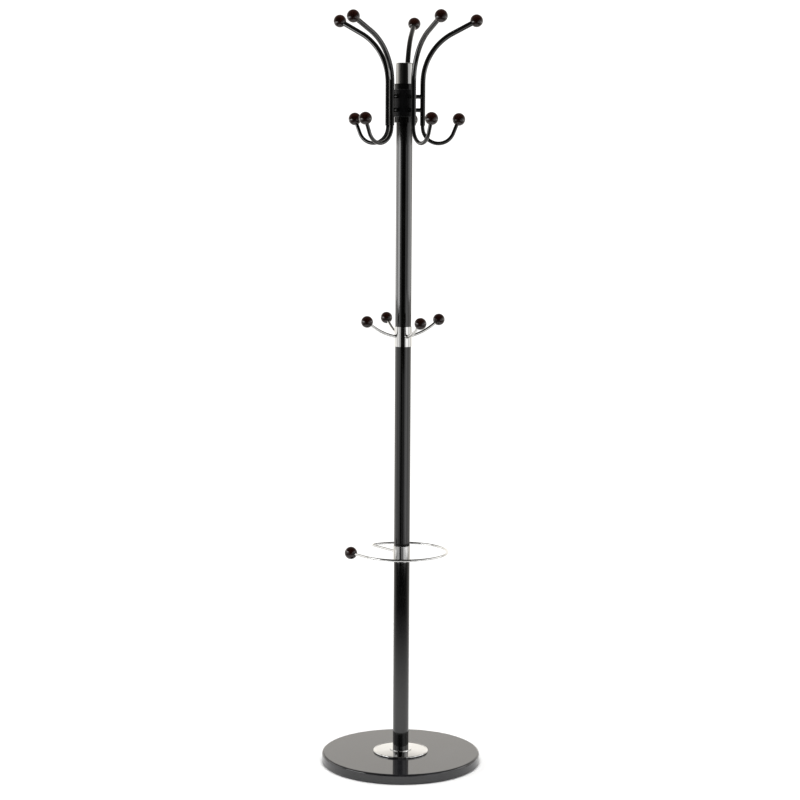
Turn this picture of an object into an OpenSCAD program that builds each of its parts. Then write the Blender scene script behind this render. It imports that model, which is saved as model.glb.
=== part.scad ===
// Standing coat rack: a polished stone disc, a three-section pole, a revolving head with five
// double hooks, a ring of four short hooks half way up and an open umbrella ring.
// Origin: centre of the underside, on the floor. Z runs up the pole, -Y is the front.

/* [Base] */
// Diameter of the stone disc
base_d = 380; // [300:5:450]
// Thickness of the stone disc
base_t = 23; // [18:1:40]
// Radius along the disc's top edge
base_top_edge = 5; // [1:0.5:6]
// Radius along the disc's bottom edge
base_bottom_edge = 1.5; // [0.5:0.5:3]
// Number of pads under the disc
foot_count = 6; // [3:1:12]
// Diameter of one pad
foot_d = 22; // [12:1:30]
// Thickness of one pad
foot_t = 1; // [1:0.5:4]
// Distance from the disc's rim to a pad's centre
foot_inset = 28; // [20:1:60]
// Diameter of the cover plate round the pole's foot
flange_d = 132; // [90:2:160]
// Sheet thickness of the cover plate
flange_t = 1.2; // [0.8:0.1:2]
// Thickness of the cover plate's rolled rim
flange_rim_t = 4.4; // [2:0.2:6]
// Rise of the cover plate's dome from its rim to its boss
flange_dome_rise = 2.7; // [0.5:0.1:5]
// Rise of the boss above the dome
flange_boss_rise = 2; // [1:0.5:5]
// Width of the flat ring on top of the boss
flange_boss_w = 6.5; // [4:0.5:12]

/* [Pole] */
// Outside diameter of the pole tubes
pole_d = 38; // [30:1:50]
// Wall of the pole tubes
pole_wall = 1.2; // [1:0.1:2.5]
// Length of the lower tube
lower_tube_len = 483.5; // [400:0.5:600]
// Length of the middle tube
middle_tube_len = 517.3; // [400:0.1:640]
// Length of the upper tube
upper_tube_len = 632; // [520:1:760]
// Length of the threaded plug in a tube's end
insert_len = 20; // [14:1:35]
// Diameter of the bolt and the joining studs
bolt_d = 10; // [8:1:12]
// Height of the cap on top of the pole
cap_h = 48; // [30:1:70]
// Wall of the cap
cap_wall = 1.2; // [1:0.1:2.5]
// Thickness of the cap's top
cap_top = 3; // [1.5:0.5:5]

/* [Collars] */
// Wall of the two chrome collars
collar_wall = 1.5; // [1:0.1:3]
// Thickness of a collar's inner web, clamped between two tubes
collar_web = 3; // [2:0.5:6]
// Height of the umbrella collar
umbrella_collar_h = 38.5; // [26:0.5:60]
// Height of the short hooks' collar
hook_collar_h = 47; // [30:1:70]

/* [Umbrella ring] */
// Diameter of the ring's wire
ring_wire_d = 6; // [4:0.5:9]
// Radius of the ring at the middle of its wire
ring_r = 108.5; // [90:0.5:140]
// Radius of the bend between the spoke and the ring
ring_bend_r = 10; // [8:1:15]
// Height of the ring above the middle of its collar
ring_lift = 4.2; // [0:0.2:8]
// Direction of the ring's start, beside its spoke, seen from above
ring_turn = 127; // [0:1:359]
// Straight end of the wire, up to the knob's centre
ring_tip_len = 57; // [20:1:70]

/* [Short hooks] */
// Diameter of a short hook's rod
short_rod_d = 7; // [5:0.5:9]
// Slope of a short hook where it leaves the collar
short_start_slope = 11; // [0:1:25]
// Slope of a short hook at its knob
short_end_slope = 37; // [30:1:60]
// Bend radius of a short hook
short_bend_r = 150; // [100:5:200]
// Straight end of a short hook, up to the knob's centre
short_tip_len = 16; // [16:1:40]
// Direction of the first short hook, seen from above
short_turn = 25.3; // [0:0.1:89.9]

/* [Knobs] */
// Diameter of the large knobs
knob_d = 30; // [22:0.5:40]
// Diameter of the short hooks' knobs
short_knob_d = 28; // [20:0.5:30]

/* [Head] */
// Direction of the first double hook, seen from above
head_turn = 10.4; // [0:0.1:71.9]
// Height of the hub
hub_h = 61.5; // [50:0.5:90]
// Wall of the hub
hub_wall = 4; // [3.5:0.5:8]
// Wall of a bush
bush_wall = 1.95; // [1.5:0.05:4]
// Length of a bush inside the hub
bush_len = 18; // [12:1:22]
// Thickness of a bush's rim
bush_rim = 1.4; // [1:0.1:3]
// Height of the two clamping rings
clamp_ring_h = 12.5; // [8:0.5:20]
// Wall of the two clamping rings
clamp_ring_wall = 4.5; // [3:0.5:8]
// Diameter of the clamping rings' grub screws
grub_d = 5; // [3:0.5:6]

/* [Double hooks] */
// Diameter of an arm's tube
arm_d = 12; // [10:0.5:16]
// Wall of an arm's tube
arm_wall = 1.5; // [1:0.1:2]
// Gap between the hub and an arm
arm_gap = 12; // [8:0.5:30]
// Bend radius of an arm
arm_bend_r = 130; // [90:5:180]
// Angle that an arm bends outwards
arm_bend = 62; // [45:1:75]
// Straight end of an arm, up to the knob's centre
arm_tip_len = 65; // [20:1:90]
// Height of an arm's bend above the hub's underside
arm_bend_up = 77; // [66:0.5:110]
// Bend radius of a lower hook
hook_bend_r = 38; // [30:1:50]
// Slope of a lower hook at its knob
hook_end_slope = 68; // [40:1:85]
// Straight end of a lower hook, up to the knob's centre
hook_tip_len = 35; // [20:1:60]
// Depth of a lower hook's bend below the hub's underside
hook_drop = 23.5; // [10:0.5:60]
// Length of a lower hook's rod inside the arm's tube
hook_plug_len = 35; // [20:1:40]
// Diameter of the stubs that carry an arm
stub_d = 9.5; // [8:0.5:12]
// Height of the lower stubs above the hub's underside
stub_low = 15; // [10:0.5:24]
// Height of the upper stubs above the hub's underside
stub_high = 46; // [32:0.5:48]
// Diameter of the screws that hold the stubs
arm_screw_d = 4; // [3:0.5:5]

/* [Fits] */
// Running gap between a bush and the pole, on the radius
run_gap = 0.05; // [0.02:0.01:0.1]
// Gap between the bushes' rims and the rings they turn on
thrust_gap = 0.1; // [0.05:0.05:0.3]
// Slip gap round fixed sleeves and plugs, on the radius
slip_gap = 0.05; // [0.02:0.01:0.1]
// Clearance round a bolt or screw, on the radius
screw_gap = 0.25; // [0.1:0.05:0.6]

/* [Hidden] */
$fn = 96;
eps = 0.01;
arm_count = 5;
short_count = 4;
// A bend is this much thinner all round than a straight, and runs this far into it
bend_thinning = 0.02;
bend_lap = 0.4;

// Base and its bolt; the head and washer are in proportion to the bolt
base_r = base_d / 2;
base_top = foot_t + base_t;
head_h = 0.64 * bolt_d;
head_flats = 1.7 * bolt_d;
washer_t = 2.5;
washer_r = 1.5 * bolt_d;
recess_gap = 1;
recess_r = washer_r + recess_gap;
recess_h = head_h + washer_t + recess_gap;
bolt_hole_r = bolt_d / 2 + screw_gap;

// Cover plate, built up from its rim
flange_bead = flange_rim_t / 2;
flange_dome_h = 1.5 * flange_bead + flange_dome_rise;
flange_boss_h = flange_dome_h + flange_boss_rise;

// Heights up the pole
pole_r = pole_d / 2;
bore_r = pole_r - pole_wall;
sleeve_r = pole_r + slip_gap;
foot_z = base_top + flange_t;
umbrella_web_z = foot_z + lower_tube_len;
umbrella_z = umbrella_web_z + collar_web / 2;
middle_z = umbrella_web_z + collar_web;
hook_web_z = middle_z + middle_tube_len;
hook_z = hook_web_z + collar_web / 2;
upper_z = hook_web_z + collar_web;
pole_top = upper_z + upper_tube_len;
cap_z = pole_top + cap_top - cap_h;

// Head, stacked down from the cap
stop_ring_z = cap_z - clamp_ring_h;
hub_z = stop_ring_z - thrust_gap - bush_rim - hub_h;
support_ring_z = hub_z - bush_rim - thrust_gap - clamp_ring_h;
bush_in_r = pole_r + run_gap;
bush_out_r = bush_in_r + bush_wall;
hub_r = bush_out_r + hub_wall;
clamp_ring_r = pole_r + clamp_ring_wall;
screw_head_h = 0.58 * arm_screw_d;
screw_set_in = 0.1;
screw_end_r = hub_r + 2 * arm_screw_d;

// Double hooks
arm_r = hub_r + arm_gap + arm_d / 2;
arm_end_rise = 3;
arm_end = arm_end_rise - hook_drop;
hook_rod_d = arm_d - 2 * arm_wall;
collar_r = sleeve_r + collar_wall;

// A place given by its distance from the pole's axis and its height
function at(r, z) = [r, 0, z];

// A point on an arc of radius r about centre c, in the radial plane
function on_arc(c, r, a) = c + r * [cos(a), 0, sin(a)];

arm_bend_c = at(arm_r + arm_bend_r, arm_bend_up);
arm_bend_end = on_arc(arm_bend_c, arm_bend_r, 180 - arm_bend);
hook_bend_c = at(arm_r + hook_bend_r, -hook_drop);
hook_bend_end = on_arc(hook_bend_c, hook_bend_r, 270 + hook_end_slope);
short_bend_c = at(pole_r - short_bend_r * sin(short_start_slope),
    short_bend_r * cos(short_start_slope));
short_bend_end = on_arc(short_bend_c, short_bend_r, 270 + short_end_slope);

// ---------- shared shapes ----------

// Flat ring between two radii
module washer(r_in, r_out, h) {
    difference() {
        cylinder(r = r_out, h = h);
        translate([0, 0, -eps])
            cylinder(r = r_in, h = h + 2 * eps);
    }
}

// Cross-section of a rod, or of a tube when a bore is given
module section(d, bore) {
    difference() {
        circle(d = d);
        if (bore > 0) circle(d = bore);
    }
}

// Straight stretch from a point, rising at a slope in the radial plane
module straight(p, slope, len, d, bore = 0) {
    translate(p)
        rotate([0, 90 - slope, 0])
            linear_extrude(len)
                section(d + 2 * bend_thinning, bore - 2 * bend_thinning);
}

// Bend about a centre in the radial plane, from one angle over a sweep.
// Bending thins the wall a little, and the bend runs a short way into its straight neighbours.
module bend(c, r, from, sweep, d, bore = 0) {
    lap = bend_lap / r * 180 / PI;
    translate(c)
        rotate([90, 0, 0])
            rotate([0, 0, from - lap])
                rotate_extrude(angle = sweep + 2 * lap)
                    translate([r, 0])
                        section(d, bore);
}

// Round knob at the end of a rod, bored to its centre
module knob(p, slope, d, rod_d) {
    translate(p)
        rotate([0, -90 - slope, 0])
            difference() {
                sphere(d = d);
                cylinder(d = rod_d + 2 * slip_gap, h = d);
            }
}

// Places something at each of n directions about the pole
module around(n) {
    for (i = [0 : n - 1]) {
        rotate([0, 0, i * 360 / n])
            children();
    }
}

// The radial plane of a double hook, with its origin level with the hub's underside
module at_arm(i) {
    translate([0, 0, hub_z])
        rotate([0, 0, head_turn + (i - 1) * 360 / arm_count])
            children();
}

// The radial plane of a short hook, with its origin level with the middle of its collar
module at_short(i) {
    translate([0, 0, hook_z])
        rotate([0, 0, short_turn + (i - 1) * 360 / short_count])
            children();
}

// ---------- base ----------

// Polished stone disc, recessed below for the bolt's head
module base_slab() {
    color([0.07, 0.07, 0.08])
    translate([0, 0, foot_t])
        difference() {
            rotate_extrude() {
                square([base_r - base_top_edge, base_t]);
                square([base_r - base_bottom_edge, base_t / 2]);
                translate([0, base_bottom_edge])
                    square([base_r, base_t - base_top_edge - base_bottom_edge]);
                translate([base_r - base_top_edge, base_t - base_top_edge])
                    circle(r = base_top_edge);
                translate([base_r - base_bottom_edge, base_bottom_edge])
                    circle(r = base_bottom_edge);
            }
            translate([0, 0, -eps])
                cylinder(r = bolt_hole_r, h = base_t + 2 * eps);
            translate([0, 0, -eps])
                cylinder(r = recess_r, h = recess_h + eps);
        }
}

// Rubber pads glued under the disc
module base_feet() {
    color([0.12, 0.12, 0.12])
    around(foot_count)
        translate([base_r - foot_inset, 0, 0])
            cylinder(d = foot_d, h = foot_t);
}

// Spun cover plate: rolled rim, low dome, raised boss and a cup for the pole's foot
module base_flange() {
    rim_r = flange_d / 2;
    cup_r = sleeve_r + flange_t;
    boss_r = cup_r + flange_boss_w;
    rise = flange_dome_rise;
    dome_c = (rim_r * rim_r - boss_r * boss_r + rise * rise) / (2 * rise);
    dome_r = sqrt(rim_r * rim_r + (dome_c - rise) * (dome_c - rise));
    color([0.85, 0.86, 0.88])
    translate([0, 0, base_top])
        rotate_extrude() {
            // floor and wall of the cup
            translate([bolt_hole_r, 0])
                square([cup_r - bolt_hole_r, flange_t]);
            translate([sleeve_r, 0])
                square([flange_t, flange_boss_h]);
            // flat ring and outer wall of the boss
            translate([sleeve_r, flange_boss_h - flange_t])
                square([boss_r - sleeve_r - flange_t / 2, flange_t]);
            translate([boss_r - flange_t / 2, flange_boss_h - flange_t / 2])
                circle(r = flange_t / 2);
            translate([boss_r - flange_t, flange_dome_h - flange_t])
                square([flange_t, flange_boss_h - flange_dome_h + flange_t / 2]);
            // dome
            intersection() {
                difference() {
                    translate([0, flange_dome_h - dome_c])
                        circle(r = dome_r);
                    translate([0, flange_dome_h - dome_c])
                        circle(r = dome_r - flange_t);
                }
                translate([boss_r - flange_t, 0])
                    square([rim_r - boss_r + flange_t - flange_bead, flange_boss_h]);
            }
            // rolled rim
            translate([rim_r - flange_bead, flange_bead])
                circle(r = flange_bead);
        }
}

// Hexagon bolt, up through the disc and the cover plate into the pole
module base_bolt() {
    head_z = foot_t + recess_h - washer_t - head_h;
    color([0.6, 0.6, 0.62])
    translate([0, 0, head_z]) {
        cylinder(d = head_flats / cos(30), h = head_h, $fn = 6);
        cylinder(d = bolt_d, h = foot_z + insert_len - head_z);
    }
}

// Washer that spreads the bolt's pull
module base_washer() {
    color([0.6, 0.6, 0.62])
    translate([0, 0, foot_t + recess_h - washer_t])
        washer(bolt_hole_r, washer_r, washer_t);
}

// ---------- pole ----------

// Length of pole tube
module tube(z, len) {
    color([0.05, 0.05, 0.05])
    translate([0, 0, z])
        washer(bore_r, pole_r, len);
}

// Threaded plug pressed into a tube's end
module insert(z) {
    color([0.55, 0.55, 0.56])
    translate([0, 0, z])
        washer(bolt_d / 2, bore_r, insert_len);
}

module foot_insert() { insert(foot_z); }
module lower_tube() { tube(foot_z, lower_tube_len); }
module middle_tube() { tube(middle_z, middle_tube_len); }
module upper_tube() { tube(upper_z, upper_tube_len); }

// Plugs each side of the two collars
module tube_inserts() {
    for (z = [umbrella_web_z, hook_web_z]) {
        insert(z - insert_len);
        insert(z + collar_web);
    }
}

// Studs that draw the tubes together on the collars' webs
module joint_studs() {
    color([0.55, 0.55, 0.56])
    for (z = [umbrella_web_z, hook_web_z]) {
        translate([0, 0, z - insert_len])
            cylinder(d = bolt_d, h = 2 * insert_len + collar_web);
    }
}

// Deep cap pushed over the top of the pole
module pole_cap() {
    cap_r = sleeve_r + cap_wall;
    edge = 0.8 * cap_top;
    color([0.85, 0.86, 0.88])
    translate([0, 0, cap_z])
        difference() {
            rotate_extrude() {
                square([cap_r, cap_h - edge]);
                square([cap_r - edge, cap_h]);
                translate([cap_r - edge, cap_h - edge])
                    intersection() {
                        circle(r = edge);
                        square(edge);
                    }
            }
            translate([0, 0, -eps])
                cylinder(r = sleeve_r, h = cap_h - cap_top + eps);
        }
}

// ---------- collars ----------

// Sleeve over a joint, with a web clamped between the two tubes
module collar(z, h) {
    color([0.85, 0.86, 0.88])
    translate([0, 0, z]) {
        translate([0, 0, -h / 2])
            washer(sleeve_r, collar_r, h);
        translate([0, 0, -collar_web / 2])
            washer(bolt_hole_r, sleeve_r + eps, collar_web);
    }
}

module umbrella_collar() { collar(umbrella_z, umbrella_collar_h); }
module hook_collar() { collar(hook_z, hook_collar_h); }

// ---------- umbrella ring ----------

// The ring's own plane, with X through the point where its round part starts
module at_ring() {
    translate([0, 0, umbrella_z + ring_lift])
        rotate([0, 0, ring_turn])
            children();
}

// Bend in the ring's plane
module flat_bend(r, sweep) {
    rotate_extrude(angle = sweep)
        translate([r, 0])
            circle(d = ring_wire_d);
}

// One wire welded to the collar: spoke, tight bend, three quarters of a ring and a straight end
module umbrella_ring() {
    spoke_len = ring_r - ring_bend_r;
    color([0.85, 0.86, 0.88])
    at_ring() {
        difference() {
            translate([0, ring_bend_r, 0])
                rotate([0, 90, 0])
                    cylinder(d = ring_wire_d, h = spoke_len);
            cylinder(r = collar_r, h = 2 * ring_wire_d, center = true);
        }
        translate([spoke_len, 0, 0])
            flat_bend(ring_bend_r, 90);
        mirror([0, 1, 0])
            flat_bend(ring_r, 270);
        translate([0, ring_r, 0])
            rotate([0, 90, 0])
                cylinder(d = ring_wire_d, h = ring_tip_len);
    }
}

module umbrella_knob() {
    color([0.16, 0.05, 0.04])
    at_ring()
        knob([ring_tip_len, ring_r, 0], 0, knob_d, ring_wire_d);
}

// ---------- short hooks ----------

// Curved rod welded to the hook collar
module short_hook(i) {
    color([0.85, 0.86, 0.88])
    at_short(i) {
        difference() {
            bend(short_bend_c, short_bend_r, 270 + short_start_slope,
                short_end_slope - short_start_slope, short_rod_d);
            cylinder(r = collar_r, h = hook_collar_h, center = true);
        }
        straight(short_bend_end, short_end_slope, short_tip_len, short_rod_d);
    }
}

module short_knob(i) {
    tip = short_bend_end + short_tip_len * [cos(short_end_slope), 0, sin(short_end_slope)];
    color([0.16, 0.05, 0.04])
    at_short(i)
        knob(tip, short_end_slope, short_knob_d, short_rod_d);
}

// ---------- head: rings, bushes and hub ----------

// Ring clamped to the pole by a grub screw at its back
module clamp_ring(z) {
    color([0.05, 0.05, 0.05])
    translate([0, 0, z])
        difference() {
            washer(sleeve_r, clamp_ring_r, clamp_ring_h);
            translate([0, 0, clamp_ring_h / 2])
                rotate([-90, 0, 0])
                    cylinder(d = grub_d, h = 2 * clamp_ring_r);
        }
}

module support_ring() { clamp_ring(support_ring_z); }
module stop_ring() { clamp_ring(stop_ring_z); }

// Hexagon socket screws, sunk just below the rings' outsides
module ring_screws() {
    sunk = 0.5;
    outer_end = clamp_ring_r - sunk;
    socket_flats = 0.5 * grub_d;
    socket_h = 1.8;
    color([0.3, 0.3, 0.3])
    for (z = [support_ring_z, stop_ring_z]) {
        translate([0, 0, z + clamp_ring_h / 2])
            difference() {
                rotate([-90, 0, 0])
                    cylinder(d = grub_d, h = outer_end);
                cylinder(r = pole_r, h = 2 * grub_d, center = true);
                translate([0, outer_end - socket_h, 0])
                    rotate([-90, 0, 0])
                        cylinder(d = socket_flats / cos(30), h = 2 * socket_h, $fn = 6);
            }
    }
}

// Nylon bush: the sleeve runs on the pole, and the rim turns on a clamping ring
module bush() {
    color([0.06, 0.06, 0.065]) {
        washer(bush_in_r, clamp_ring_r, bush_rim);
        washer(bush_in_r, bush_out_r, bush_rim + bush_len);
    }
}

module lower_bush() { translate([0, 0, hub_z - bush_rim]) bush(); }

module upper_bush() {
    translate([0, 0, hub_z + hub_h + bush_rim])
        mirror([0, 0, 1])
            bush();
}

// Places something at each arm's two fixings, with Z outwards from the pole's axis
module at_fixings() {
    for (i = [1 : arm_count]) {
        for (z = [stub_low, stub_high]) {
            at_arm(i)
                translate([0, 0, z])
                    rotate([0, 90, 0])
                        children();
        }
    }
}

// Countersunk screw, its head just inside the hub's bore; or its hole when a gap is given
module arm_screw(gap = 0) {
    head_r = arm_screw_d + gap;
    head_z = bush_out_r + screw_set_in;
    recess = 2;
    translate([0, 0, head_z])
        cylinder(r1 = head_r, r2 = arm_screw_d / 2 + gap, h = screw_head_h);
    translate([0, 0, head_z + screw_head_h - eps])
        cylinder(d = arm_screw_d + 2 * gap, h = screw_end_r - head_z - screw_head_h);
    if (gap > 0) {
        translate([0, 0, head_z - recess])
            cylinder(r = head_r, h = recess + eps);
    }
}

// Moulded hub that the arms are screwed to
module head_hub() {
    edge = 1.2;
    color([0.02, 0.02, 0.02])
    difference() {
        translate([0, 0, hub_z])
            rotate_extrude()
                translate([bush_out_r, 0])
                    difference() {
                        square([hub_wall, hub_h]);
                        for (z = [0, hub_h]) {
                            translate([hub_wall, z])
                                rotate(45)
                                    square(edge, center = true);
                        }
                    }
        at_fixings()
            arm_screw(gap = slip_gap);
    }
}

// Stubs welded to the arms, drilled for the screws
module arm_stubs() {
    stub_lap = 2;
    color([0.05, 0.05, 0.05])
    for (i = [1 : arm_count]) {
        at_arm(i)
            difference() {
                for (z = [stub_low, stub_high]) {
                    translate([hub_r - stub_lap, 0, z])
                        rotate([0, 90, 0])
                            washer(arm_screw_d / 2, stub_d / 2, arm_gap + 2 * stub_lap);
                }
                cylinder(r = hub_r, h = hub_h);
                translate([arm_r, 0, 0])
                    cylinder(d = arm_d + 2 * bend_thinning, h = hub_h);
            }
    }
}

// Countersunk screws, put in from the hub's bore before the bushes
module arm_screws() {
    color([0.5, 0.5, 0.52])
    at_fixings()
        arm_screw();
}

// ---------- double hooks ----------

// Bent tube: up beside the hub, then outwards to the upper knob
module arm(i) {
    color([0.05, 0.05, 0.05])
    at_arm(i) {
        straight(at(arm_r, arm_end), 90, arm_bend_up - arm_end, arm_d, hook_rod_d);
        bend(arm_bend_c, arm_bend_r, 180 - arm_bend, arm_bend, arm_d, hook_rod_d);
        straight(arm_bend_end, 90 - arm_bend, arm_tip_len, arm_d, hook_rod_d);
    }
}

// Rod plugged into the tube's lower end, bent up into a hook
module lower_hook(i) {
    plug_d = hook_rod_d - 2 * slip_gap;
    plug_lap = 1;
    color([0.05, 0.05, 0.05])
    at_arm(i) {
        straight(at(arm_r, -hook_drop), 90, arm_end + hook_drop, hook_rod_d);
        straight(at(arm_r, arm_end - plug_lap), 90, hook_plug_len + plug_lap,
            plug_d - 2 * bend_thinning);
        bend(hook_bend_c, hook_bend_r, 180, 90 + hook_end_slope, hook_rod_d);
        straight(hook_bend_end, hook_end_slope, hook_tip_len, hook_rod_d);
    }
}

module upper_knob(i) {
    slope = 90 - arm_bend;
    color([0.16, 0.05, 0.04])
    at_arm(i)
        knob(arm_bend_end + arm_tip_len * [cos(slope), 0, sin(slope)], slope, knob_d, arm_d);
}

module lower_knob(i) {
    slope = hook_end_slope;
    color([0.16, 0.05, 0.04])
    at_arm(i)
        knob(hook_bend_end + hook_tip_len * [cos(slope), 0, sin(slope)], slope, knob_d, hook_rod_d);
}

// ---------- nodes ----------

base_slab();
base_feet();
base_flange();
base_bolt();
base_washer();
foot_insert();
lower_tube();
middle_tube();
upper_tube();
tube_inserts();
joint_studs();
pole_cap();
umbrella_collar();
umbrella_ring();
umbrella_knob();
hook_collar();
short_hook(1);  // short_hook_1
short_hook(2);  // short_hook_2
short_hook(3);  // short_hook_3
short_hook(4);  // short_hook_4
short_knob(1);  // short_knob_1
short_knob(2);  // short_knob_2
short_knob(3);  // short_knob_3
short_knob(4);  // short_knob_4
support_ring();
stop_ring();
ring_screws();
lower_bush();
upper_bush();
head_hub();
arm_stubs();
arm_screws();
arm(1);  // arm_1
arm(2);  // arm_2
arm(3);  // arm_3
arm(4);  // arm_4
arm(5);  // arm_5
lower_hook(1);  // lower_hook_1
lower_hook(2);  // lower_hook_2
lower_hook(3);  // lower_hook_3
lower_hook(4);  // lower_hook_4
lower_hook(5);  // lower_hook_5
upper_knob(1);  // upper_knob_1
upper_knob(2);  // upper_knob_2
upper_knob(3);  // upper_knob_3
upper_knob(4);  // upper_knob_4
upper_knob(5);  // upper_knob_5
lower_knob(1);  // lower_knob_1
lower_knob(2);  // lower_knob_2
lower_knob(3);  // lower_knob_3
lower_knob(4);  // lower_knob_4
lower_knob(5);  // lower_knob_5
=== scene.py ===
import bpy
import bmesh
from math import cos, pi, radians, sin, sqrt
from mathutils import Matrix, Vector


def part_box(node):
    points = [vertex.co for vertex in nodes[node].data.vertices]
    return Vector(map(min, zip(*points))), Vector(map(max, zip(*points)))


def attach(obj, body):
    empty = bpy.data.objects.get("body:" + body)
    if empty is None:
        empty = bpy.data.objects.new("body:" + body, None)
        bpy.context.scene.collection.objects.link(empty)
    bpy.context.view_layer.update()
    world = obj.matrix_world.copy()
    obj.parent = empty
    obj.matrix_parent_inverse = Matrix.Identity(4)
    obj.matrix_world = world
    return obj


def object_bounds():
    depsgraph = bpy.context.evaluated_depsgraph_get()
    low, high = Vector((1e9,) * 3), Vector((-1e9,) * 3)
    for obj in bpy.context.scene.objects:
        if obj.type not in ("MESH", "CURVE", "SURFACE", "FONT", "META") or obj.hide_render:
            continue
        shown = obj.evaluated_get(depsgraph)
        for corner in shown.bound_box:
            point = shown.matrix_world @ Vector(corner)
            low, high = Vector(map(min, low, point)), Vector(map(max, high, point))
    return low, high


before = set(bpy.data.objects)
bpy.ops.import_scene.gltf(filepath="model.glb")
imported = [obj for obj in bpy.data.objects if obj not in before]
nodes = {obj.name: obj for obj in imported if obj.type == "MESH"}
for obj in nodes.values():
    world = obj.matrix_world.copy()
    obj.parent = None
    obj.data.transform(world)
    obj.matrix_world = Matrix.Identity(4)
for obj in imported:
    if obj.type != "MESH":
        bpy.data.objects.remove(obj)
cad_low, cad_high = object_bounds()

# ---------- stone disc ----------
# A disc of black stone, sawn, turned and polished all over, that keeps the stand from tipping.
# Its crystals show as faint dark grey flecks under the polish, and its edges are rounded over.


def start_finish(name, color, roughness, metallic=0.0, ior=1.5):
    """New material with its even values set straight on the shader."""
    finish = bpy.data.materials.new(name)
    finish.use_nodes = True
    shader = finish.node_tree.nodes["Principled BSDF"]
    shader.inputs["Base Color"].default_value = (*color, 1)
    shader.inputs["Roughness"].default_value = roughness
    shader.inputs["Metallic"].default_value = metallic
    shader.inputs["IOR"].default_value = ior
    return finish, shader


def add_node(shader, kind, **values):
    """Node beside the shader, with its sockets and settings given by name."""
    made = shader.id_data.nodes.new(kind)
    for name, value in values.items():
        if name in made.inputs:
            made.inputs[name].default_value = value
        else:
            setattr(made, name, value)
    return made


def plug(shader, source, target):
    shader.id_data.links.new(source, target)


def place_of(shader, stretch=(1, 1, 1), move=(0, 0, 0), turn=(0, 0, 0)):
    """Position on the piece in metres, which a finish's grain is laid out in."""
    where = add_node(shader, "ShaderNodeTexCoord")
    laid = add_node(shader, "ShaderNodeMapping", Location=move, Rotation=turn, Scale=stretch)
    plug(shader, where.outputs["Object"], laid.inputs["Vector"])
    return laid.outputs["Vector"]


def mottle(shader, scale, detail=2.0, rough=0.5, **placing):
    """Cloudy pattern, with `scale` clouds in a metre."""
    cloud = add_node(shader, "ShaderNodeTexNoise", Scale=scale, Detail=detail, Roughness=rough)
    plug(shader, place_of(shader, **placing), cloud.inputs["Vector"])
    return cloud.outputs["Fac"]


def ramp(shader, source, *stops):
    """Turns a pattern into colours, or into greys when a stop is a single number."""
    scale = add_node(shader, "ShaderNodeValToRGB")
    band = scale.color_ramp
    plug(shader, source, scale.inputs["Fac"])
    while len(band.elements) < len(stops):
        band.elements.new(0.5)
    for element, (at, color) in zip(band.elements, stops):
        element.position = at
        element.color = (*color, 1) if isinstance(color, tuple) else (color, color, color, 1)
    return scale.outputs["Color"]


def relief(shader, source, height, strength=1.0):
    """Raises the surface by up to `height` metres where the pattern is bright."""
    bump = add_node(shader, "ShaderNodeBump", Strength=strength, Distance=height)
    plug(shader, source, bump.inputs["Height"])
    plug(shader, bump.outputs["Normal"], shader.inputs["Normal"])
    return bump.outputs["Normal"]


def dress(finish, *names):
    """Gives CAD nodes a finish."""
    for name in names:
        slots = nodes[name].data.materials
        slots.clear()
        slots.append(finish)


stone, shader = start_finish("polished_black_stone", (0.012, 0.012, 0.013), 0.06, ior=1.62)
crystals = add_node(shader, "ShaderNodeTexVoronoi", Scale=900.0, Randomness=1.0)
plug(shader, place_of(shader), crystals.inputs["Vector"])
flecks = ramp(shader, crystals.outputs["Distance"], (0.0, (0.030, 0.030, 0.033)),
              (0.22, (0.013, 0.013, 0.014)), (1.0, (0.007, 0.007, 0.008)))
veins = ramp(shader, mottle(shader, 14, detail=6, rough=0.62), (0.40, 0.0), (0.62, 0.55), (0.75, 1.0))
blend = add_node(shader, "ShaderNodeMix", data_type="RGBA", B=(0.020, 0.020, 0.023, 1))
plug(shader, veins, blend.inputs["Factor"])
plug(shader, flecks, blend.inputs["A"])
plug(shader, blend.outputs["Result"], shader.inputs["Base Color"])
plug(shader, ramp(shader, mottle(shader, 60, detail=4), (0.3, 0.035), (0.7, 0.075)),
     shader.inputs["Roughness"])
relief(shader, mottle(shader, 35, detail=1), 0.00006, strength=0.25)
dress(stone, "base_slab")

# ---------- pads under the disc ----------
# Moulded rubber pads, glued under the rim so that the stone never touches the floor.
# Matt, a little dusty, and finely grained from the mould.

rubber, shader = start_finish("black_rubber", (0.025, 0.025, 0.025), 0.8)
dust = mottle(shader, 260, detail=5, rough=0.7)
plug(shader, ramp(shader, dust, (0.35, (0.016, 0.016, 0.016)), (0.75, (0.055, 0.054, 0.052))),
     shader.inputs["Base Color"])
relief(shader, mottle(shader, 2600, detail=2), 0.00008, strength=0.6)
dress(rubber, "base_feet")

# ---------- cover plate, collars and cap ----------
# Pressed and turned steel with bright chrome: the plate round the pole's foot, the two collars
# at the joints and the deep cap. Polishing leaves faint lines that run round each piece.

chrome, shader = start_finish("bright_chrome", (0.72, 0.72, 0.71), 0.05, metallic=1.0)
plug(shader, ramp(shader, mottle(shader, 22, detail=3), (0.3, (0.68, 0.68, 0.67)), (0.7, (0.77, 0.77, 0.76))),
     shader.inputs["Base Color"])
polish = mottle(shader, 1.0, detail=3, stretch=(40, 40, 1800))
plug(shader, ramp(shader, polish, (0.35, 0.03), (0.7, 0.085)), shader.inputs["Roughness"])
relief(shader, polish, 0.00002, strength=0.12)
dress(chrome, "base_flange", "umbrella_collar", "hook_collar", "pole_cap")

# ---------- hidden steelwork ----------
# Zinc plated bolt, washer, threaded plugs, studs and screws that hold the stand together.
# Cut threads and zinc's pale spangle show where a piece can be seen from below or behind.

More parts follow.
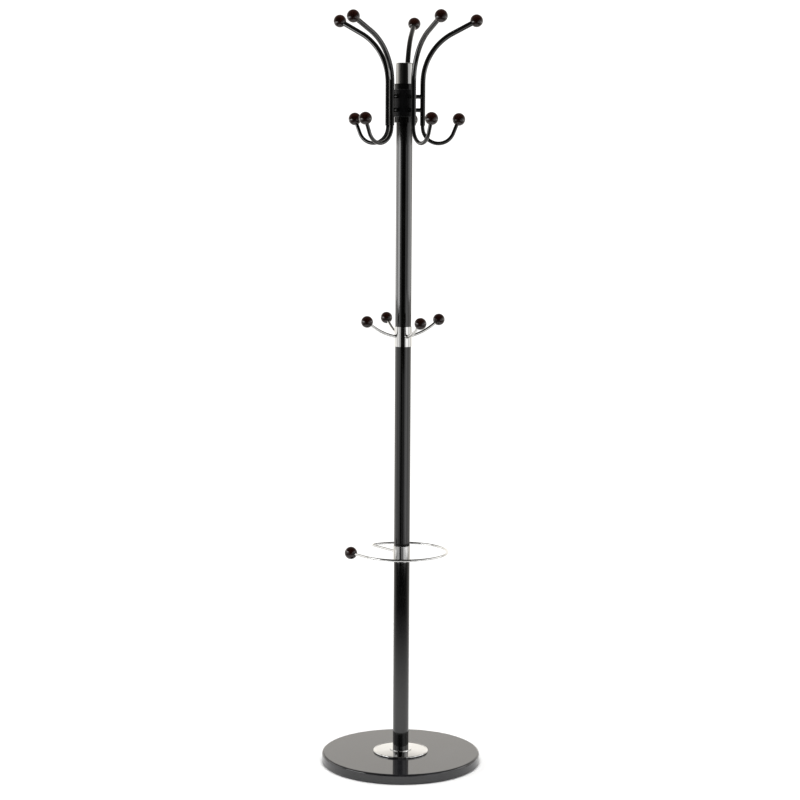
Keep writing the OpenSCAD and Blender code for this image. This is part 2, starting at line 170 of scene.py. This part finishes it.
zinc, shader = start_finish("zinc_plated_steel", (0.55, 0.56, 0.57), 0.34, metallic=1.0)
spangle = mottle(shader, 420, detail=4, rough=0.6)
plug(shader, ramp(shader, spangle, (0.3, (0.42, 0.43, 0.45)), (0.7, (0.64, 0.645, 0.63))),
     shader.inputs["Base Color"])
plug(shader, ramp(shader, spangle, (0.3, 0.26), (0.7, 0.46)), shader.inputs["Roughness"])
relief(shader, mottle(shader, 1.0, detail=2, stretch=(300, 300, 5000)), 0.00004, strength=0.4)
dress(zinc, "base_bolt", "base_washer", "foot_insert", "tube_inserts", "joint_studs", "arm_screws",
      "ring_screws")

# ---------- pole ----------
# Three lengths of round steel tube, drawn together end to end inside the collars.
# Gloss black enamel, baked on: deep and wet looking, with a trace of orange peel.


def enamel(name, peel):
    """Baked gloss enamel; `peel` is the number of its dimples in a metre."""
    finish, shader = start_finish(name, (0.003, 0.003, 0.003), 0.3)
    shader.inputs["Specular IOR Level"].default_value = 0.0
    shader.inputs["Coat Weight"].default_value = 1.0
    shader.inputs["Coat Roughness"].default_value = 0.07
    shader.inputs["Coat IOR"].default_value = 1.65
    shade = mottle(shader, 30, detail=4)
    plug(shader, ramp(shader, shade, (0.3, (0.0030, 0.0030, 0.0028)), (0.7, (0.0060, 0.0059, 0.0056))),
         shader.inputs["Base Color"])
    plug(shader, ramp(shader, mottle(shader, 90, detail=3), (0.3, 0.12), (0.7, 0.2)),
         shader.inputs["Roughness"])
    skin = relief(shader, mottle(shader, peel, detail=1), 0.00003, strength=0.1)
    plug(shader, skin, shader.inputs["Coat Normal"])
    return finish


dress(enamel("pole_enamel", 420), "lower_tube", "middle_tube", "upper_tube")

# ---------- umbrella ring ----------
# One length of chromed wire: a spoke from the collar, a tight bend, three quarters of a ring and
# a straight end with a knob. Umbrellas stand inside it, with their tips on the stone.

wire_chrome, shader = start_finish("drawn_chrome_wire", (0.72, 0.72, 0.71), 0.05, metallic=1.0)
drawing = mottle(shader, 160, detail=3)
plug(shader, ramp(shader, drawing, (0.3, (0.66, 0.66, 0.65)), (0.7, (0.76, 0.76, 0.75))),
     shader.inputs["Base Color"])
plug(shader, ramp(shader, drawing, (0.3, 0.035), (0.7, 0.09)), shader.inputs["Roughness"])
relief(shader, mottle(shader, 700, detail=2), 0.00002, strength=0.15)
dress(wire_chrome, "umbrella_ring")


def middle(name):
    low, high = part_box(name)
    return (low + high) / 2


def half_width(name):
    low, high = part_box(name)
    return (high.x - low.x) / 2


def outward(name):
    """Level direction from the pole's axis to a piece."""
    centre = middle(name)
    return Vector((centre.x, centre.y, 0)).normalized()


def weld(name, body, finish, start, along, rod_r, host_axis, host_r, leg):
    """Fillet round a rod where it meets an upright tube. `start` is a point on the rod's axis,
    `along` the way it leaves the tube, and `leg` how far the metal runs up the rod and the tube.
    The fillet's section is hollow in the middle and rooted a little inside the tube."""
    side = along.cross(Vector((0, 0, 1))).normalized()
    crown = side.cross(along).normalized()
    steps = 48
    bead = bmesh.new()
    rings = []
    for k in range(steps):
        turn = 2 * pi * k / steps
        spread = side * cos(turn) + crown * sin(turn)

        def meet(reach):
            """Point where a line beside the rod, `reach` from its axis, comes out of the tube."""
            at = start + spread * reach - host_axis
            a = along.x ** 2 + along.y ** 2
            b = at.x * along.x + at.y * along.y
            c = at.x ** 2 + at.y ** 2 - host_r ** 2
            return at + host_axis + along * ((sqrt(b * b - a * c) - b) / a)

        # a hand-laid bead swells and narrows a little as it goes round
        laid = leg * (1 + 0.07 * sin(9 * turn) + 0.04 * sin(17 * turn + 1))
        root = meet(0.9 * rod_r) - along * 0.3 * leg
        on_tube = meet(rod_r + laid)
        on_rod = meet(rod_r) + along * laid
        belly = (on_tube + on_rod) / 2 - (spread + along) * 0.12 * laid
        profile = (root, on_tube, on_tube.lerp(belly, 0.55), belly, belly.lerp(on_rod, 0.45), on_rod)
        rings.append([bead.verts.new(point) for point in profile])
    for k in range(steps):
        near, far = rings[k], rings[(k + 1) % steps]
        for j in range(len(near)):
            n = (j + 1) % len(near)
            bead.faces.new((near[j], near[n], far[n], far[j])).smooth = True
    bmesh.ops.recalc_face_normals(bead, faces=bead.faces)
    mesh = bpy.data.meshes.new(name)
    bead.to_mesh(mesh)
    bead.free()
    mesh.materials.append(finish)
    piece = bpy.data.objects.new(name, mesh)
    bpy.context.scene.collection.objects.link(piece)
    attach(piece, body)


SPOKE_TURN = radians(127)
SPOKE_OFFSET = 0.010
BRAZE_LEG = 0.0014
spoke = Vector((cos(SPOKE_TURN), sin(SPOKE_TURN), 0))
beside = Vector((-spoke.y, spoke.x, 0)) * SPOKE_OFFSET
ring_low, ring_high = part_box("umbrella_ring")
wire_r = (ring_high.z - ring_low.z) / 2
pole_axis = Vector((0, 0, 0))
spoke_root = beside + Vector((0, 0, middle("umbrella_ring").z))
weld("umbrella_braze", "stand", wire_chrome, spoke_root, spoke, wire_r, pole_axis,
     half_width("umbrella_collar"), BRAZE_LEG)

# ---------- short hooks ----------
# Four curved rods of the same chromed wire, brazed round the upper collar for bags and hats.

SHORT_ROD_R = 0.0035
SHORT_SLOPE = radians(11)
for i in range(1, 5):
    dress(wire_chrome, f"short_hook_{i}")
    out = outward(f"short_knob_{i}")
    root = out * half_width("middle_tube") + Vector((0, 0, middle("hook_collar").z))
    along = out * cos(SHORT_SLOPE) + Vector((0, 0, sin(SHORT_SLOPE)))
    weld(f"short_braze_{i}", "stand", wire_chrome, root, along, SHORT_ROD_R, pole_axis,
         half_width("hook_collar"), BRAZE_LEG)

# ---------- knobs ----------
# Turned balls of close-grained hardwood, stained dark mahogany and lacquered to a high gloss.
# Each is bored along its grain and glued to the end of its rod, so no two show the same rings.


def mahogany(name, centre, grain):
    """Lacquered wood about a knob's centre, with its grain along the rod."""
    finish, shader = start_finish(name, (0.012, 0.004, 0.003), 0.4)
    shader.inputs["Specular IOR Level"].default_value = 0.0
    shader.inputs["Coat Weight"].default_value = 1.0
    shader.inputs["Coat Roughness"].default_value = 0.05
    shader.inputs["Coat IOR"].default_value = 1.5
    turn = grain.to_track_quat("Z", "Y").inverted()
    heart = Vector((0.022, 0.006, 0.0)) - turn @ centre
    placing = dict(turn=tuple(turn.to_euler()), move=tuple(heart))
    growth = add_node(shader, "ShaderNodeTexWave", wave_type="RINGS", rings_direction="Z", Scale=75.0,
                      Distortion=2.5, Detail=3.0)
    plug(shader, place_of(shader, **placing), growth.inputs["Vector"])
    fibres = mottle(shader, 1.0, detail=4, rough=0.6, stretch=(1500, 1500, 1500), turn=placing["turn"])
    shades = ramp(shader, growth.outputs["Color"], (0.15, (0.006, 0.0020, 0.0015)),
                  (0.8, (0.020, 0.0060, 0.0040)))
    specks = ramp(shader, fibres, (0.35, (0.004, 0.0015, 0.0012)), (0.7, (0.026, 0.0080, 0.0050)))
    stain = add_node(shader, "ShaderNodeMix", data_type="RGBA", Factor=0.35)
    plug(shader, shades, stain.inputs["A"])
    plug(shader, specks, stain.inputs["B"])
    plug(shader, stain.outputs["Result"], shader.inputs["Base Color"])
    relief(shader, growth.outputs["Color"], 0.00004, strength=0.15)
    return finish


# slope of each knob's rod in degrees; the umbrella ring's end is level and runs round the pole
knobs = {"umbrella_knob": None}
knobs.update({f"short_knob_{i}": 37 for i in range(1, 5)})
knobs.update({f"upper_knob_{i}": 28 for i in range(1, 6)})
knobs.update({f"lower_knob_{i}": 68 for i in range(1, 6)})
for name, slope in knobs.items():
    centre = middle(name)
    out = outward(name)
    if slope is None:
        grain = Vector((-out.y, out.x, 0))
    else:
        grain = out * cos(radians(slope)) + Vector((0, 0, sin(radians(slope))))
    dress(mahogany("mahogany_" + name, centre, grain), name)

# ---------- revolving head ----------
# A moulded black hub turns on two nylon bushes round the pole, between a support ring below and
# a stop ring above. The rings are gloss enamelled and each is clamped by a screw at its back.

plastic, shader = start_finish("matt_moulded_black", (0.006, 0.006, 0.0065), 0.6)
shader.inputs["Specular IOR Level"].default_value = 0.22
spark = mottle(shader, 2400, detail=3, rough=0.65)
plug(shader, ramp(shader, spark, (0.3, (0.0020, 0.0020, 0.0022)), (0.7, (0.0045, 0.0045, 0.0048))),
     shader.inputs["Base Color"])
plug(shader, ramp(shader, spark, (0.3, 0.5), (0.7, 0.68)), shader.inputs["Roughness"])
relief(shader, spark, 0.00006, strength=0.5)
dress(plastic, "head_hub")

nylon, shader = start_finish("black_nylon", (0.02, 0.02, 0.021), 0.42)
plug(shader, ramp(shader, mottle(shader, 300, detail=3), (0.3, (0.012, 0.012, 0.013)),
                  (0.7, (0.03, 0.03, 0.031))), shader.inputs["Base Color"])
relief(shader, mottle(shader, 1.0, detail=2, stretch=(120, 120, 3000)), 0.00003, strength=0.3)
dress(nylon, "lower_bush", "upper_bush")

dress(enamel("ring_enamel", 500), "support_ring", "stop_ring")

# ---------- double hooks ----------
# Each is a bent steel tube that carries a knob above, with a thinner rod plugged into its lower
# end and bent up into the coat hook. Two welded stubs hold it off the hub. All gloss enamel.

arm_enamel = enamel("arm_enamel", 600)
dress(arm_enamel, "arm_stubs")
STUB_R = 0.00475
ARM_R = 0.006
ARM_GAP = 0.012
WELD_LEG = 0.8 * (ARM_R - STUB_R)
stubs_low, stubs_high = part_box("arm_stubs")
for i in range(1, 6):
    dress(arm_enamel, f"arm_{i}", f"lower_hook_{i}")
    out = outward(f"upper_knob_{i}")
    arm_axis = out * (half_width("head_hub") + ARM_GAP + ARM_R)
    for place, z in (("low", stubs_low.z + STUB_R), ("high", stubs_high.z - STUB_R)):
        weld(f"stub_weld_{place}_{i}", "head", arm_enamel, arm_axis + Vector((0, 0, z)),
             -out, STUB_R, arm_axis, ARM_R, WELD_LEG)

# ---------- studio ----------
# A plain pale floor that fades into white, upright soft boxes round both sides of the stand, and
# a camera in front at standing eye height. The room is white behind the stand and dark in front.

scene = bpy.context.scene
scene.view_settings.view_transform = "Standard"

world = bpy.data.worlds.new("studio")
scene.world = world
world.use_nodes = True
air = world.node_tree.nodes["Background"]
WALL_GLOW = 1.2
WARM_WHITE = (1.0, 0.965, 0.91, 1)
sky = add_node(air, "ShaderNodeTexCoord")
side = add_node(air, "ShaderNodeSeparateXYZ")
plug(air, sky.outputs["Generated"], side.inputs["Vector"])
depth = add_node(air, "ShaderNodeMapRange")
depth.inputs["From Min"].default_value = -1.0
plug(air, side.outputs["Y"], depth.inputs["Value"])
walls = ramp(air, depth.outputs["Result"], (0.0, 0.004), (0.08, 0.010), (0.25, 0.035), (0.38, 0.10),
             (0.55, 0.32), (0.76, 0.6), (0.93, 1.0))
ceiling = ramp(air, side.outputs["Z"], (0.30, 1.0), (0.55, 0.40), (0.80, 0.28))
room = add_node(air, "ShaderNodeMath", operation="MULTIPLY")
plug(air, walls, room.inputs[0])
plug(air, ceiling, room.inputs[1])
glow = add_node(air, "ShaderNodeMath", operation="MULTIPLY")
glow.inputs[1].default_value = WALL_GLOW
plug(air, room.outputs["Value"], glow.inputs[0])
seen = add_node(air, "ShaderNodeLightPath")
bright = add_node(air, "ShaderNodeMath", operation="MAXIMUM")
plug(air, seen.outputs["Is Camera Ray"], bright.inputs[0])
plug(air, glow.outputs["Value"], bright.inputs[1])
plug(air, bright.outputs["Value"], air.inputs["Strength"])
tint = add_node(air, "ShaderNodeMix", data_type="RGBA", A=WARM_WHITE, B=(1, 1, 1, 1))
plug(air, seen.outputs["Is Camera Ray"], tint.inputs["Factor"])
plug(air, tint.outputs["Result"], air.inputs["Color"])

FLOOR_R = 1.8
SOLID_FLOOR_R = 0.28
sheet = bmesh.new()
bmesh.ops.create_circle(sheet, cap_ends=True, radius=FLOOR_R, segments=96)
floor_mesh = bpy.data.meshes.new("floor")
sheet.to_mesh(floor_mesh)
sheet.free()
floor = bpy.data.objects.new("floor", floor_mesh)
scene.collection.objects.link(floor)
paper, shader = start_finish("pale_floor", (0.93, 0.93, 0.93), 0.9)
shader.inputs["Specular IOR Level"].default_value = 0.0
away = add_node(shader, "ShaderNodeVectorMath", operation="LENGTH")
plug(shader, place_of(shader), away.inputs[0])
fade = add_node(shader, "ShaderNodeMapRange", interpolation_type="SMOOTHSTEP")
fade.inputs["From Min"].default_value = SOLID_FLOOR_R
fade.inputs["From Max"].default_value = FLOOR_R
fade.inputs["To Min"].default_value = 1.0
fade.inputs["To Max"].default_value = 0.0
plug(shader, away.outputs["Value"], fade.inputs["Value"])
plug(shader, fade.outputs["Result"], shader.inputs["Alpha"])
floor_mesh.materials.append(paper)


def soft_box(name, bearing, away, width, bottom, top, glow):
    """Upright soft light that faces the pole; its bearing is in degrees round from the front."""
    lamp = bpy.data.lights.new(name, "AREA")
    lamp.shape = "RECTANGLE"
    lamp.size = width
    lamp.size_y = top - bottom
    lamp.energy = pi * width * (top - bottom) * glow
    box = bpy.data.objects.new(name, lamp)
    turn = radians(bearing)
    box.location = (away * sin(turn), -away * cos(turn), (bottom + top) / 2)
    box.rotation_euler = (pi / 2, 0, turn)
    box.visible_camera = False
    scene.collection.objects.link(box)
    return box


WALL_AWAY = 2.2
STRIP_AWAY = 1.9
soft_box("right_low", 74, WALL_AWAY, 3.2, 0.05, 0.95, 0.65)
soft_box("right_middle", 92, WALL_AWAY, 2.4, 0.95, 1.50, 2.2)
soft_box("right_front", 45, WALL_AWAY, 1.8, 0.02, 1.50, 0.6)
soft_box("right_high", 76, WALL_AWAY, 3.2, 1.50, 2.30, 0.5)
soft_box("left_low", -88, WALL_AWAY, 3.0, 0.05, 0.95, 0.6)
soft_box("left_front", -48, WALL_AWAY, 1.3, 0.02, 1.50, 0.4)
soft_box("front_low", 12, WALL_AWAY, 1.9, 0.02, 0.70, 0.16)
soft_box("left_strip", -72, STRIP_AWAY, 1.2, 0.95, 1.50, 5.0)
soft_box("left_middle", -116, WALL_AWAY, 1.8, 0.95, 1.50, 1.8)
fill = soft_box("fill", 0, 0, 2.5, 0, 2.5, 7.5)
fill.location = (0, 0, 2.2 * cad_high.z)  # overhead, well above the upper knobs
fill.rotation_euler = (0, 0, 0)
fill.visible_glossy = False

LENS = 91.64
CAMERA_AT = (-0.0065, -4.781, 1.480)
PITCH = 0.125
ROLL = 0.006
eye = bpy.data.cameras.new("camera")
eye.lens = LENS
eye.sensor_width = 36.0
camera = bpy.data.objects.new("camera", eye)
camera.matrix_world = (Matrix.Translation(CAMERA_AT) @ Matrix.Rotation(pi / 2 - PITCH, 4, "X")
                       @ Matrix.Rotation(ROLL, 4, "Z"))
scene.collection.objects.link(camera)
scene.camera = camera
